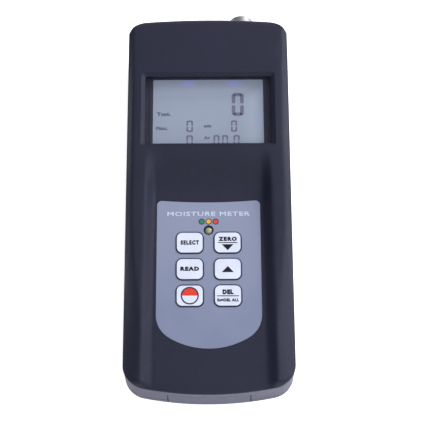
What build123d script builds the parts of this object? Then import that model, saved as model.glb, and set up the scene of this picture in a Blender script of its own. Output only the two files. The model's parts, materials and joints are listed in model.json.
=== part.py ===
from build123d import *
from math import atan, cos, hypot, pi, sin
import os

# Handheld moisture meter.  X is to the right, Y runs from the battery end to the socket end,
# Z points out of the front.  The origin is under the middle of the housing, on the flat back.

os.makedirs("parts", exist_ok=True)

# ---- housing ----
body_length = 161.0
body_width = 69.0
hood_height = 32.0
rear_height = 16.6
reveal = 0.7  # open line between the two shells
step_in = 0.15  # the rear shell is set in from the front shell
side_lean = 0.065  # the front shell's sides lean in by this for each millimetre of height
wall = 2.2
back_wall = 2.5
front_wall = 2.0
top_bow = 1.85  # how far the socket end curves out
bottom_bow = 4.4  # how far the battery end curves out
top_corner = 9.5
bottom_corner = 9.8
back_round = 1.5
line_z = 4.4  # fine moulded line round the battery end
line_width = 0.35
line_depth = 0.25
line_run = 16.0
lip_gap = 0.15
lip_wall = 1.3
lip_depth = 1.5
assembly_gap = 0.1  # air between pieces that are bonded or clamped together
spare = 1.0  # cutters run this far past what they cut
root_z = 0.5  # inner walls and posts of the rear shell start this far inside its back

# ---- shape of the front ----
slope_from_top = 58.5  # socket end to the start of the slope below the display
slope_run = 21.0
panel_start_z = 25.1  # front surface where the slope ends
panel_end_z = 18.12  # height that the key panel falls to at the battery end
panel_half = 21.3
rail_half = 26.0
rail_spread = 1.9  # how much further apart the rails stand at the battery end
rail_end_z = 20.8
rail_bend = 14.0
rail_curve = 1.5
hood_rim_z = 28.3
top_rim_z = 30.8
low_rim_z = 17.9
hood_shoulder = 3.6
top_shoulder = 3.0
low_shoulder = 1.8
grip_shoulder = 7.4
hood_power = 2.0  # roundness of the shoulder at the hood
grip_power = 1.5  # and at the battery end, where it is nearly flat
grip_fade_start = 9.0  # below the foot of the slope
grip_fade_run = 50.0
rim_fade_run = 75.0

# ---- display ----
window_from_top = 42.6
window_width = 52.8
window_height = 31.0
window_bevel = 1.6
window_bevel_depth = 1.0
window_rise = 0.01  # the bevel starts just above the hood
window_corner = 0.8
lens_margin = 1.3
lens_thick = 1.2
glass_width = 46.6
glass_height = 37.0
glass_thick = 2.6
glass_top_z = 24.8
glass_shift = -1.4  # the glass sits this far below the middle of the window
guide_thick = 2.0
strip_in = 1.5  # contact strips end this far short of the glass at each side
strip_from_edge = 0.3
guide_in = 0.5
frame_side = 3.6
frame_end = 1.2
frame_lip = 1.1
strip_width = 2.0
led_block = 3.0
led_block_round = 0.4
glass_corner = 0.4

# ---- key panel ----
overlay_below_slope = 1.5
overlay_length = 62.0
overlay_straight = 53.4
overlay_top_half = 21.1
overlay_low_half = 21.35
overlay_dip = 0.95
overlay_corner = 2.0
overlay_low_corner = 11.0
overlay_thick = 0.35
overlay_sunk = 0.5
overlay_gap = 0.15
key_width = 11.3
key_height = 9.15
key_corner = 2.6
key_proud = 0.2
key_gap = 0.15
key_travel = 0.3
key_room = 0.15
key_columns = 15.4
key_rows = 11.05
first_row = 18.15  # below the top of the overlay
stem_radius = 1.6
stem_gap = 0.3
led_from_overlay = 12.75
led_radius = 1.6
led_proud = 0.1
led_gap = 0.15
led_dome = 1.4
led_flange = 2.0
led_flange_height = 0.8
led_stand = 1.0  # the lamp stands on its legs this far above the board
led_leg = 0.5
led_leg_pitch = 2.2

# ---- circuit board ----
board_z = 14.9
board_thick = 1.6
board_half = 29.0
board_from_top = 18.0
board_length = 113.0
board_corner = 1.5
switch_side = 6.0
switch_height = 2.5
button_radius = 1.5
button_rise = 0.6
button_depth = 0.7
button_gap = 0.08
button_round = 0.2
switch_corner = 0.4
contact_gap = 0.05
controller_side = 12.0
controller_height = 1.5
controller_place = (-8.0, 22.0)  # x, and distance in from the socket end of the board
signal_chip_size = (5.0, 4.0)
signal_chip_height = 1.4
signal_chip_places = ((15.0, 14.0), (15.0, 24.0))
chip_edge = 0.2
crystal_length = 11.0
crystal_width = 4.6
crystal_height = 3.4
crystal_round = 0.6
crystal_place = (-8.0, 33.0)
buzzer_radius = 6.0
buzzer_hole = 1.0
buzzer_height = 7.0
buzzer_place = (16.0, 38.0)

# ---- screws ----
boss_radius = 3.3
boss_x = 28.0
boss_top = 9.7  # in from the socket end
boss_bottom = 13.5  # in from the battery end
boss_split_z = 10.0
screw_radius = 1.45
screw_head_radius = 2.8
screw_head_height = 1.8
screw_length = 13.0
screw_seat_z = 3.6
screw_gap = 0.1
screw_head_gap = 0.3
screw_tip_room = 0.5
board_screw_radius = 1.1
board_screw_head = 2.1
board_screw_head_height = 1.3
board_boss_radius = 2.6
board_screw_length = 4.8
board_screw_x = 25.6
board_screw_top = 3.2  # in from the socket end of the board
board_screw_mid = 3.0  # above the foot of the slope
board_screw_low = 6.0  # in from the battery end of the board
board_screw_tip_room = 0.3
drive_span = 1.3  # length of the cross drive, in head radii
drive_width = 0.8
drive_depth = 1.0

# ---- batteries ----
cell_radius = 5.25
cell_length = 44.5
cell_nub_radius = 1.9
cell_nub = 0.8
cell_gap = 0.25  # air between two cells
cell_count = 4
cell_air = 0.3
spring_room = 5.5
spring_radius = 2.8
spring_wire = 0.28
spring_pitch = 1.25
contact_thick = 0.3
contact_height = 7.0
contact_corner = 1.0
contact_long = 1.7  # widths of the double and single plates, in cell pitches
contact_short = 0.7
bay_wall = 1.2
bay_from_bottom = 4.0
door_thick = 1.85
door_raise = 0.15
door_gap = 0.25
door_overlap = 1.9
door_lip = 1.0
door_lip_low = 0.95
door_lip_high = 1.65
tab_width = 33.0
tab_height = 12.0
tab_depth = 2.5
tab_gap = 0.35
tab_air = 0.2  # between the tab and the wall of the bay
door_lip_air = 0.15
door_air = 0.1
grip_ribs = 6
grip_pitch = 1.8
grip_width = 16.0

# ---- probe socket ----
socket_x = 14.6
socket_z = 13.4
socket_radius = 4.8
socket_bore = 4.05
socket_stub = 9.5
socket_front = 4.6  # length of the plain front stretch that a plug slides over
socket_collar_radius = 5.1
socket_inside = 9.0
socket_flange_margin = 1.1  # how far the flange reaches past the collar
socket_flange = 1.4
socket_nut_wall = 1.4  # from the collar to a flat of the nut
socket_nut_thick = 2.2
washer_margin = 1.5  # how far the washer reaches past the collar
washer_thick = 0.6
lug_radius = 0.9
lug_height = 1.0
lug_from_rim = 5.8
rim_chamfer = 0.3
core_from_rim = 1.5
contact_proud = 0.2
contact_tail = 1.5
contact_bore_depth = 4.0
core_radius = 2.3
contact_radius = 0.7
contact_bore = 0.45
lead_radius = 0.35
lead_bend = 0.8
lead_spread = 3.5
lead_in = 2.0  # the first lead meets the board this far in
lead_pitch = 4.0

# ---- values worked out from the ones above ----
top_y = body_length / 2
bottom_y = -body_length / 2
front_base = rear_height + reveal
slope_y = top_y - slope_from_top
panel_y = slope_y - slope_run
panel_fall = (panel_start_z - panel_end_z) / (panel_y - bottom_y)  # for each millimetre of its length
window_y = top_y - window_from_top
socket_flange_radius = socket_collar_radius + socket_flange_margin
washer_radius = socket_collar_radius + washer_margin
socket_nut_flats = 2 * (socket_collar_radius + socket_nut_wall)
overlay_y = panel_y - overlay_below_slope
tilt = atan(panel_fall)
panel_normal = (0, -sin(tilt), cos(tilt))
board_top_z = board_z + board_thick
board_top_y = top_y - board_from_top
board_mid_y = board_top_y - board_length / 2
switch_top_z = board_top_z + switch_height
button_top_z = switch_top_z + button_rise
cell_z = door_raise + door_thick + cell_air + cell_radius
cell_pitch = 2 * cell_radius + cell_gap
bay_half = cell_pitch * cell_count / 2 + cell_air
bay_low_y = bottom_y + bay_from_bottom
bay_length = cell_length + spring_room + 2 * (contact_thick + contact_gap)
bay_high_y = bay_low_y + bay_length
bay_roof_z = cell_z + cell_radius + cell_air
glass_y = window_y + glass_shift
glass_low_z = glass_top_z - glass_thick
boss_places = [(side * boss_x, y) for side in (-1, 1) for y in (top_y - boss_top, bottom_y + boss_bottom)]
board_screw_ys = (
    board_top_y - board_screw_top,
    panel_y + board_screw_mid,
    board_top_y - board_length + board_screw_low,
)
board_screw_places = [(side * board_screw_x, y) for side in (-1, 1) for y in board_screw_ys]
key_names = (("select", "read", "power"), ("zero", "up", "delete"))
key_places = {
    name: ((column - 0.5) * key_columns, overlay_y - first_row - row * key_rows)
    for column, names in enumerate(key_names)
    for row, name in enumerate(names)
}
cell_xs = [(place - (cell_count - 1) / 2) * cell_pitch for place in range(cell_count)]


def ease(t):
    """Smooth step from 0 to 1 as t goes from 0 to 1."""
    t = min(max(t, 0.0), 1.0)
    return t * t * (3 - 2 * t)


def panel_z(y):
    """Height of the flat key panel."""
    return panel_start_z + panel_fall * (y - panel_y)


def down_grip(y):
    """Share of the way from the foot of the hood to the battery end."""
    return max(slope_y - y, 0.0) / (slope_y - bottom_y)


def rail_z(y):
    """Height of the side rails, level with the hood and falling in a hollow curve."""
    bend = rail_bend / (slope_y - bottom_y)
    past = down_grip(y)
    bent = past * past / (2 * bend) if past < bend else past - bend / 2
    share = bent / (1 - bend / 2)
    return hood_height - (hood_height - rail_end_z) * share * (1 + rail_curve) / (share + rail_curve)


def end_y(x, end, bow):
    """Where the curved end of the housing lies at x."""
    return end - (1 if end > 0 else -1) * bow * (2 * x / body_width) ** 2


def shoulder(gone, width):
    """Share of the shoulder still to climb at a distance gone in from the rim."""
    return max(1 - gone / width, 0.0)


def front_z(x, y):
    """Height of the front of the housing: hood, slope, key panel, rails and rounded rim."""
    x = abs(x)
    grip = ease((panel_y - grip_fade_start - y) / grip_fade_run)
    hood = ease((y - window_y) / (top_y - window_y))
    floor_z = panel_z(y) + (hood_height - panel_z(y)) * ease((y - panel_y) / slope_run)
    crest_z = rail_z(y)
    climb = ease((x - panel_half - rail_spread * down_grip(y)) / (rail_half - panel_half))
    inner_z = min(floor_z, crest_z) * (1 - climb) + crest_z * climb
    rim_z = hood_rim_z + (low_rim_z - hood_rim_z) * ease((slope_y - y) / rim_fade_run)
    rim_z += (top_rim_z - hood_rim_z) * hood
    rim_half = body_width / 2 - side_lean * (rim_z - front_base)
    side_width = hood_shoulder + (grip_shoulder - hood_shoulder) * grip
    side_width += (top_shoulder - hood_shoulder) * hood
    side = shoulder(rim_half - x, side_width)
    top = shoulder(end_y(x, top_y, top_bow) - y, top_shoulder)
    low = shoulder(y - end_y(x, bottom_y, bottom_bow), low_shoulder)
    power = hood_power + (grip_power - hood_power) * grip
    away = hypot(side, top, low)
    part = 1 - away**power if away < 1 else power * (1 - away)
    return rim_z + (inner_z - rim_z) * part


def front_face(depth):
    """Smooth face that lies depth under the front of the housing and runs past its rim."""
    past = 1.5
    across = 56
    along = 84
    half = body_width / 2 + past
    xs = [-half + 2 * half * i / across for i in range(across + 1)]
    ys = [bottom_y - past + (body_length + 2 * past) * i / along for i in range(along + 1)]
    rows = [[(x, y, front_z(x, y) - depth) for x in xs] for y in ys]
    return Face.make_surface_from_array_of_points(rows, tol=0.03, min_deg=3, max_deg=3)


def plan(inset, level):
    """Plan outline of the housing, pulled in by inset, on the plane z = level."""
    half = body_width / 2 - inset
    high = top_y - inset
    low = bottom_y + inset
    with BuildSketch(Plane.XY.offset(level)) as outline:
        with BuildLine():
            ThreePointArc((-half, high - top_bow), (0, high), (half, high - top_bow))
            Line((half, high - top_bow), (half, low + bottom_bow))
            ThreePointArc((half, low + bottom_bow), (0, low), (-half, low + bottom_bow))
            Line((-half, low + bottom_bow), (-half, high - top_bow))
        make_face()
        fillet(outline.vertices().group_by(Axis.Y)[-1], top_corner - inset)
        fillet(outline.vertices().group_by(Axis.Y)[0], bottom_corner - inset)
    return outline.sketch


def leaning_sides(inset):
    """Section across the housing: upright to the parting line, then leaning in."""
    half = body_width / 2 - inset
    high = hood_height + 2 * spare
    with BuildSketch(Plane.XZ.offset(-top_y - 2 * spare)) as section:
        with BuildLine():
            Polyline(
                (-half, 0),
                (half, 0),
                (half, front_base),
                (half - side_lean * (high - front_base), high),
                (-half + side_lean * (high - front_base), high),
                (-half, front_base),
                close=True,
            )
        make_face()
    return section.sketch


def on_panel(x, y, rise):
    """Plane parallel to the key panel, at a place on it, rise above its surface."""
    return Plane(origin=(x, y, panel_z(y)), x_dir=(1, 0, 0), z_dir=panel_normal).offset(rise)


def overlay_outline(grow, rise):
    """Outline of the printed overlay, grown by grow, on a plane along the key panel."""
    top = overlay_top_half + grow
    low = overlay_low_half + grow
    with BuildSketch(on_panel(0, overlay_y, rise)) as outline:
        with BuildLine():
            ThreePointArc((-top, grow), (0, grow - overlay_dip), (top, grow))
            Line((top, grow), (low, -overlay_straight))
            ThreePointArc((low, -overlay_straight), (0, -overlay_length - grow), (-low, -overlay_straight))
            Line((-low, -overlay_straight), (-top, grow))
        make_face()
        fillet(outline.vertices().group_by(Axis.Y)[-1], overlay_corner + grow)
        fillet(outline.vertices().group_by(Axis.Y)[0], overlay_low_corner)
    return outline.sketch


def key_outline(name, grow, rise):
    """Rounded outline of a key, grown by grow, on a plane along the key panel."""
    x, y = key_places[name]
    with BuildSketch(on_panel(x, y, rise)) as outline:
        RectangleRounded(key_width + 2 * grow, key_height + 2 * grow, key_corner + grow)
    return outline.sketch


def roof_z(x, y, radius):
    """Height inside the front wall that a boss of this radius can reach at a place."""
    turns = [i * pi / 4 for i in range(8)]
    return min(front_z(x + radius * cos(a), y + radius * sin(a)) for a in turns) - front_wall / 2


def save(piece, name):
    """Label a finished piece and write it out."""
    piece.part.label = name
    export_step(piece.part, "parts/" + name + ".step")


# where the socket's flange meets the inside of the end wall
inner_y = end_y(socket_x + washer_radius, top_y, top_bow) - wall - 2 * assembly_gap

# ---- front shell ----
with BuildPart() as hollow:
    extrude(to_extrude=plan(wall + lip_gap + lip_wall, front_base - lip_depth), amount=lip_depth + spare)
    extrude(to_extrude=plan(wall, front_base + spare), amount=hood_height - front_base)
    extrude(to_extrude=front_face(front_wall), amount=2 * hood_height, dir=(0, 0, 1), mode=Mode.SUBTRACT)
    extrude(to_extrude=leaning_sides(wall), amount=body_length + 4 * spare, mode=Mode.INTERSECT)

with BuildPart() as front_shell:
    extrude(to_extrude=plan(0, front_base), amount=hood_height - front_base + spare)
    extrude(to_extrude=front_face(0), amount=2 * hood_height, dir=(0, 0, 1), mode=Mode.SUBTRACT)
    extrude(to_extrude=leaning_sides(0), amount=body_length + 4 * spare, mode=Mode.INTERSECT)
    extrude(to_extrude=plan(wall + lip_gap, front_base - lip_depth), amount=lip_depth + lip_gap)
    add(hollow.part, mode=Mode.SUBTRACT)
    # bosses for the housing screws reach down to the rear shell, those for the board stop at it
    for x, y in boss_places:
        with BuildSketch(Plane.XY.offset(boss_split_z)):
            with Locations((x, y)):
                Circle(boss_radius)
        extrude(amount=roof_z(x, y, boss_radius) - boss_split_z)
    for x, y in board_screw_places:
        with BuildSketch(Plane.XY.offset(board_top_z + assembly_gap)):
            with Locations((x, y)):
                Circle(board_boss_radius)
        extrude(amount=roof_z(x, y, board_boss_radius) - board_top_z - assembly_gap)
    with BuildSketch(Plane.XY.offset(boss_split_z)):
        with Locations(*boss_places):
            Circle(screw_radius + screw_gap)
    extrude(amount=screw_seat_z + screw_length + screw_tip_room - boss_split_z, mode=Mode.SUBTRACT)
    with BuildSketch(Plane.XY.offset(board_top_z)):
        with Locations(*board_screw_places):
            Circle(board_screw_radius + screw_gap)
    extrude(amount=board_screw_length - board_thick + board_screw_tip_room, mode=Mode.SUBTRACT)
    # display opening with a bevelled edge
    with BuildSketch(Plane.XY.offset(hood_height - front_wall - 2 * spare)):
        with Locations((0, window_y)):
            RectangleRounded(window_width, window_height, window_corner)
    extrude(amount=front_wall + 4 * spare, mode=Mode.SUBTRACT)
    with BuildSketch(Plane.XY.offset(hood_height - window_bevel_depth)):
        with Locations((0, window_y)):
            RectangleRounded(window_width, window_height, window_corner)
    with BuildSketch(Plane.XY.offset(hood_height + window_rise)):
        with Locations((0, window_y)):
            RectangleRounded(
                window_width + 2 * window_bevel,
                window_height + 2 * window_bevel,
                window_corner + window_bevel / 2,
            )
    loft(mode=Mode.SUBTRACT)
    # recess for the overlay, a pocket under each key, and holes for the stems and the lamp
    extrude(to_extrude=overlay_outline(overlay_gap, -overlay_sunk), amount=2 * spare, mode=Mode.SUBTRACT)
    for name, (x, y) in key_places.items():
        pocket = key_outline(name, key_gap, -overlay_sunk - key_travel - key_room)
        extrude(to_extrude=pocket, amount=2 * spare, mode=Mode.SUBTRACT)
        with BuildSketch(Plane.XY.offset(board_top_z + led_stand)):
            with Locations((x, y)):
                Circle(stem_radius + stem_gap)
        extrude(amount=hood_height, mode=Mode.SUBTRACT)
    with BuildSketch(Plane.XY.offset(board_top_z + led_stand)):
        with Locations((0, overlay_y - led_from_overlay)):
            Circle(led_radius + led_gap)
    extrude(amount=hood_height, mode=Mode.SUBTRACT)
    # the probe socket is clamped across the parting line
    with BuildSketch(Plane.XZ.offset(-top_y - 2 * spare)):
        with Locations((socket_x, socket_z)):
            Circle(socket_collar_radius + lip_gap)
    extrude(amount=socket_inside + 2 * spare, mode=Mode.SUBTRACT)
    with BuildSketch(Plane.XZ.offset(-inner_y - assembly_gap)):
        with Locations((socket_x, socket_z)):
            Circle(washer_radius + 2 * assembly_gap)
    extrude(amount=socket_inside, mode=Mode.SUBTRACT)
save(front_shell, "front_shell")


# ---- rear shell ----
with BuildPart() as end_line:
    extrude(to_extrude=plan(0, line_z), amount=line_width)
    extrude(to_extrude=plan(step_in + line_depth, line_z), amount=line_width, mode=Mode.SUBTRACT)
    with BuildSketch(Plane.XY.offset(line_z)):
        with Locations((0, bottom_y - spare)):
            Rectangle(body_width, line_run, align=(Align.CENTER, Align.MIN))
    extrude(amount=line_width, mode=Mode.INTERSECT)

with BuildPart() as rear_shell:
    extrude(to_extrude=plan(step_in, 0), amount=rear_height)
    fillet(rear_shell.edges().group_by(Axis.Z)[0], back_round)
    add(end_line.part, mode=Mode.SUBTRACT)
    extrude(to_extrude=plan(wall, back_wall), amount=rear_height, mode=Mode.SUBTRACT)
    # battery bay: a closed box under the board, open to the back
    with BuildSketch(Plane.XY.offset(root_z)):
        with Locations((0, bay_low_y + bay_length / 2)):
            Rectangle(2 * (bay_half + bay_wall), bay_length + 2 * bay_wall)
    extrude(amount=bay_roof_z + bay_wall - root_z)
    with BuildSketch(Plane.XY.offset(-spare)):
        with Locations((0, bay_low_y + bay_length / 2)):
            Rectangle(2 * bay_half, bay_length)
    extrude(amount=bay_roof_z + spare, mode=Mode.SUBTRACT)
    # opening for the door, with a groove along each side and a notch in the end wall
    with BuildSketch(Plane.XY.offset(-spare)):
        with Locations((0, bottom_y - spare)):
            Rectangle(
                2 * (bay_half + door_overlap),
                bay_high_y + door_overlap + spare - bottom_y,
                align=(Align.CENTER, Align.MIN),
            )
    extrude(amount=spare + door_raise + door_thick + door_air, mode=Mode.SUBTRACT)
    with BuildSketch(Plane.XY.offset(door_lip_low - door_lip_air)):
        with Locations((0, bottom_y - spare)):
            Rectangle(
                2 * (bay_half + door_overlap + door_lip),
                bay_high_y + door_overlap + spare - bottom_y,
                align=(Align.CENTER, Align.MIN),
            )
    extrude(amount=door_lip_high - door_lip_low + 2 * door_lip_air, mode=Mode.SUBTRACT)
    with BuildSketch(Plane.XY.offset(-spare)):
        with Locations((0, bottom_y - spare)):
            Rectangle(
                tab_width + 2 * tab_gap,
                bay_from_bottom - bay_wall - tab_air + spare,
                align=(Align.CENTER, Align.MIN),
            )
    extrude(amount=spare + tab_height + door_gap, mode=Mode.SUBTRACT)
    # screw posts with a countersunk seat from the back
    with BuildSketch(Plane.XY.offset(root_z)):
        with Locations(*boss_places):
            Circle(boss_radius)
    extrude(amount=boss_split_z - assembly_gap - root_z)
    with BuildSketch(Plane.XY.offset(-spare)):
        with Locations(*boss_places):
            Circle(screw_radius + 2 * screw_gap)
    extrude(amount=boss_split_z + 2 * spare, mode=Mode.SUBTRACT)
    with BuildSketch(Plane.XY.offset(-spare)):
        with Locations(*boss_places):
            Circle(screw_head_radius + screw_head_gap)
    extrude(amount=spare + screw_seat_z, mode=Mode.SUBTRACT)
    with BuildSketch(Plane.XZ.offset(-top_y - 2 * spare)):
        with Locations((socket_x, socket_z)):
            Circle(socket_collar_radius + lip_gap)
    extrude(amount=socket_inside + 2 * spare, mode=Mode.SUBTRACT)
save(rear_shell, "rear_shell")

# ---- battery door: a plate with side lips and an end tab, which slides off past the battery end ----
door_half = bay_half + door_overlap - door_gap
door_top_y = bay_high_y + door_overlap - door_gap
with BuildPart() as battery_door:
    extrude(to_extrude=plan(step_in, 0), amount=tab_height)
    fillet(battery_door.edges().group_by(Axis.Z)[0], back_round)
    with BuildSketch(Plane.XY.offset(door_raise)):
        with Locations((0, bottom_y - spare)):
            Rectangle(
                2 * (door_half + door_lip),
                door_top_y - bottom_y + spare,
                align=(Align.CENTER, Align.MIN),
            )
    extrude(amount=tab_height, mode=Mode.INTERSECT)
    for side in (-1, 1):
        # below and above each lip
        for low, high in ((-spare, door_lip_low), (door_lip_high, tab_height + spare)):
            with BuildSketch(Plane.XY.offset(low)):
                with Locations((side * (door_half + door_lip), 0)):
                    Rectangle(2 * door_lip, body_length + 4 * spare)
            extrude(amount=high - low, mode=Mode.SUBTRACT)
        # beside the tab
        with BuildSketch(Plane.XY.offset(door_raise + door_thick)):
            with Locations((side * (tab_width / 2 + body_width / 2), 0)):
                Rectangle(body_width, body_length + 4 * spare)
        extrude(amount=tab_height, mode=Mode.SUBTRACT)
    with BuildSketch(Plane.XY.offset(door_raise + door_thick)):
        with Locations((0, bottom_y + tab_depth)):
            Rectangle(body_width, body_length, align=(Align.CENTER, Align.MIN))
    extrude(amount=tab_height, mode=Mode.SUBTRACT)
    # ribs for the thumb are left standing between shallow grooves in the back
    with BuildSketch(Plane.XY.offset(door_raise)):
        with Locations((0, bottom_y + 2 * bottom_bow)):
            with GridLocations(0, grip_pitch, 1, grip_ribs):
                Rectangle(grip_width, grip_pitch / 2)
    extrude(amount=door_thick / 4, mode=Mode.SUBTRACT)
save(battery_door, "battery_door")

# ---- clear window, bonded under the edge of its opening ----
with BuildPart() as display_window:
    with BuildSketch(Plane.XY.offset(hood_height - front_wall - assembly_gap - lens_thick)):
        with Locations((0, window_y)):
            RectangleRounded(
                window_width + 2 * lens_margin,
                window_height + 2 * lens_margin,
                window_corner + 1,
            )
    extrude(amount=lens_thick)
save(display_window, "display_window")

# ---- liquid crystal glass, its light guide, holder, contact strips and lamps ----
with BuildPart() as lcd_glass:
    with BuildSketch(Plane.XY.offset(glass_low_z)):
        with Locations((0, glass_y)):
            Rectangle(glass_width, glass_height)
    extrude(amount=glass_thick)
    chamfer(lcd_glass.edges().filter_by(Axis.Z), glass_corner)
save(lcd_glass, "lcd_glass")

strip_y = glass_height / 2 - strip_width / 2 - strip_from_edge
with BuildPart() as contact_strips:
    with BuildSketch(Plane.XY.offset(board_top_z + contact_gap)):
        with Locations((0, glass_y + strip_y), (0, glass_y - strip_y)):
            Rectangle(glass_width - 2 * strip_in, strip_width)
    extrude(amount=glass_low_z - board_top_z - 2 * contact_gap)
save(contact_strips, "contact_strips")

guide_height = 2 * strip_y - strip_width - 2 * strip_from_edge
with BuildPart() as light_guide:
    with BuildSketch(Plane.XY.offset(glass_low_z - contact_gap - guide_thick)):
        with Locations((0, glass_y)):
            Rectangle(glass_width - 2 * guide_in, guide_height)
    extrude(amount=guide_thick)
save(light_guide, "light_guide")

with BuildPart() as backlight_leds:
    with BuildSketch(Plane.XY.offset(board_top_z + contact_gap)):
        with Locations((0, glass_y)):
            with GridLocations(glass_width / 2, 0, 2, 1):
                Rectangle(led_block, led_block)
    extrude(amount=glass_low_z - guide_thick - board_top_z - 4 * contact_gap)
    fillet(backlight_leds.edges().group_by(Axis.Z)[-1], led_block_round)
save(backlight_leds, "backlight_leds")

with BuildPart() as lcd_frame:
    with BuildSketch(Plane.XY.offset(board_top_z + contact_gap)):
        with Locations((0, glass_y)):
            Rectangle(glass_width + 2 * frame_side, glass_height + 2 * frame_end)
            Rectangle(glass_width + 2 * lip_gap, glass_height + 2 * lip_gap, mode=Mode.SUBTRACT)
    extrude(amount=glass_top_z + frame_lip - board_top_z)
    # upright ribs on the two side bars, which show beside the glass
    with BuildSketch(Plane.XY.offset(glass_top_z + frame_lip / 2)):
        with Locations((0, glass_y)):
            with GridLocations(glass_width + frame_side, 0, 2, 1):
                Rectangle(frame_side / 3, glass_height)
    extrude(amount=frame_lip, mode=Mode.SUBTRACT)
save(lcd_frame, "lcd_frame")

# ---- circuit board and what is soldered to it ----
with BuildPart() as main_board:
    with BuildSketch(Plane.XY.offset(board_z)):
        with Locations((0, board_mid_y)):
            RectangleRounded(2 * board_half, board_length, board_corner)
        with Locations(*board_screw_places):
            Circle(board_screw_radius + screw_gap, mode=Mode.SUBTRACT)
    extrude(amount=board_thick)
save(main_board, "main_board")

with BuildPart() as switch_bodies:
    with BuildSketch(Plane.XY.offset(board_top_z + contact_gap)):
        with Locations(*key_places.values()):
            Rectangle(switch_side, switch_side)
    extrude(amount=switch_height - contact_gap)
    chamfer(switch_bodies.edges().filter_by(Axis.Z), switch_corner)
    with BuildSketch(Plane.XY.offset(switch_top_z - button_depth - key_travel - assembly_gap)):
        with Locations(*key_places.values()):
            Circle(button_radius + button_gap)
    extrude(amount=button_depth + key_travel + spare, mode=Mode.SUBTRACT)
save(switch_bodies, "switch_bodies")

for name, (x, y) in key_places.items():
    with BuildPart() as button:
        with BuildSketch(Plane.XY.offset(switch_top_z - button_depth)):
            with Locations((x, y)):
                Circle(button_radius)
        extrude(amount=button_depth + button_rise)
        fillet(button.edges().group_by(Axis.Z)[-1], button_round)
    save(button, name + "_switch_button")

    # key cap flush with the overlay, with a stem that meets the switch button
    with BuildPart() as key:
        cap = key_outline(name, 0, -overlay_sunk)
        extrude(to_extrude=cap, amount=overlay_sunk + key_proud)
        fillet(key.faces().sort_by(Axis.Z)[-1].edges(), key_proud)
        with BuildSketch(Plane.XY.offset(button_top_z)):
            with Locations((x, y)):
                Circle(stem_radius)
        extrude(amount=panel_z(y) - overlay_sunk / 2 - button_top_z)
    save(key, name + "_key")

led_y = overlay_y - led_from_overlay
led_top_z = panel_z(led_y) + led_proud
with BuildPart() as status_led:
    with BuildSketch(Plane.XY.offset(board_top_z + led_stand)):
        with Locations((0, led_y)):
            Circle(led_flange)
    extrude(amount=led_flange_height)
    with BuildSketch(Plane.XY.offset(board_top_z + led_stand)):
        with Locations((0, led_y)):
            Circle(led_radius)
    extrude(amount=led_top_z - board_top_z - led_stand)
    fillet(status_led.edges().group_by(Axis.Z)[-1], led_dome)
save(status_led, "status_led")

with BuildPart() as led_legs:
    with BuildSketch(Plane.XY.offset(board_top_z + contact_gap)):
        with Locations((0, led_y)):
            with GridLocations(led_leg_pitch, 0, 2, 1):
                Rectangle(led_leg, led_leg)
    extrude(amount=led_stand - 2 * contact_gap)
save(led_legs, "led_legs")

with BuildPart() as keypad_overlay:
    extrude(to_extrude=overlay_outline(0, -overlay_sunk), amount=overlay_thick)
    for name in key_places:
        extrude(to_extrude=key_outline(name, key_gap, -spare), amount=2 * spare, mode=Mode.SUBTRACT)
    with BuildSketch(on_panel(0, led_y, -spare)):
        Circle(led_radius + led_gap)
    extrude(amount=2 * spare, mode=Mode.SUBTRACT)
save(keypad_overlay, "keypad_overlay")

# ---- chips and other parts under and on the board ----
chip_low_z = board_z - contact_gap


def on_board(place):
    """A place on the board, from its x and how far it is in from the socket end."""
    return (place[0], board_top_y - place[1])


with BuildPart() as controller_chip:
    with BuildSketch(Plane.XY.offset(chip_low_z)):
        with Locations(on_board(controller_place)):
            Rectangle(controller_side, controller_side)
    extrude(amount=-controller_height)
    chamfer(controller_chip.edges().group_by(Axis.Z)[0], chip_edge)
save(controller_chip, "controller_chip")

with BuildPart() as signal_chips:
    with BuildSketch(Plane.XY.offset(chip_low_z)):
        with Locations(*[on_board(place) for place in signal_chip_places]):
            Rectangle(*signal_chip_size)
    extrude(amount=-signal_chip_height)
    chamfer(signal_chips.edges().group_by(Axis.Z)[0], chip_edge)
save(signal_chips, "signal_chips")

with BuildPart() as clock_crystal:
    with BuildSketch(Plane.XY.offset(chip_low_z)):
        with Locations(on_board(crystal_place)):
            SlotOverall(crystal_length, crystal_width)
    extrude(amount=-crystal_height)
    fillet(clock_crystal.edges().group_by(Axis.Z)[0], crystal_round)
save(clock_crystal, "clock_crystal")

with BuildPart() as buzzer:
    with BuildSketch(Plane.XY.offset(chip_low_z)):
        with Locations(on_board(buzzer_place)):
            Circle(buzzer_radius)
            Circle(buzzer_hole, mode=Mode.SUBTRACT)
    extrude(amount=-buzzer_height)
save(buzzer, "buzzer")


# ---- screws ----
def screw(radius, head_radius, head_height, length):
    """Pan-head screw with a cross drive, standing head down with its seat at z = 0."""
    with BuildPart() as made:
        with BuildSketch(Plane.XY):
            Circle(head_radius)
        extrude(amount=-head_height)
        fillet(made.edges().group_by(Axis.Z)[0], head_height / 2.5)
        with BuildSketch(Plane.XY):
            Circle(radius)
        extrude(amount=length)
        chamfer(made.edges().group_by(Axis.Z)[-1], radius / 3)
        with BuildSketch(Plane.XY.offset(-head_height)):
            Rectangle(drive_span * head_radius, drive_width)
            Rectangle(drive_width, drive_span * head_radius)
        extrude(amount=min(drive_depth, head_height / 2), mode=Mode.SUBTRACT)
    return made.part


with BuildPart() as housing_screws:
    body = screw(screw_radius, screw_head_radius, screw_head_height, screw_length)
    for x, y in boss_places:
        add(Pos(x, y, screw_seat_z) * body)
save(housing_screws, "housing_screws")

with BuildPart() as board_screws:
    body = screw(board_screw_radius, board_screw_head, board_screw_head_height, board_screw_length)
    for x, y in board_screw_places:
        add(Pos(x, y, board_z - assembly_gap) * body)
save(board_screws, "board_screws")

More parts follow.
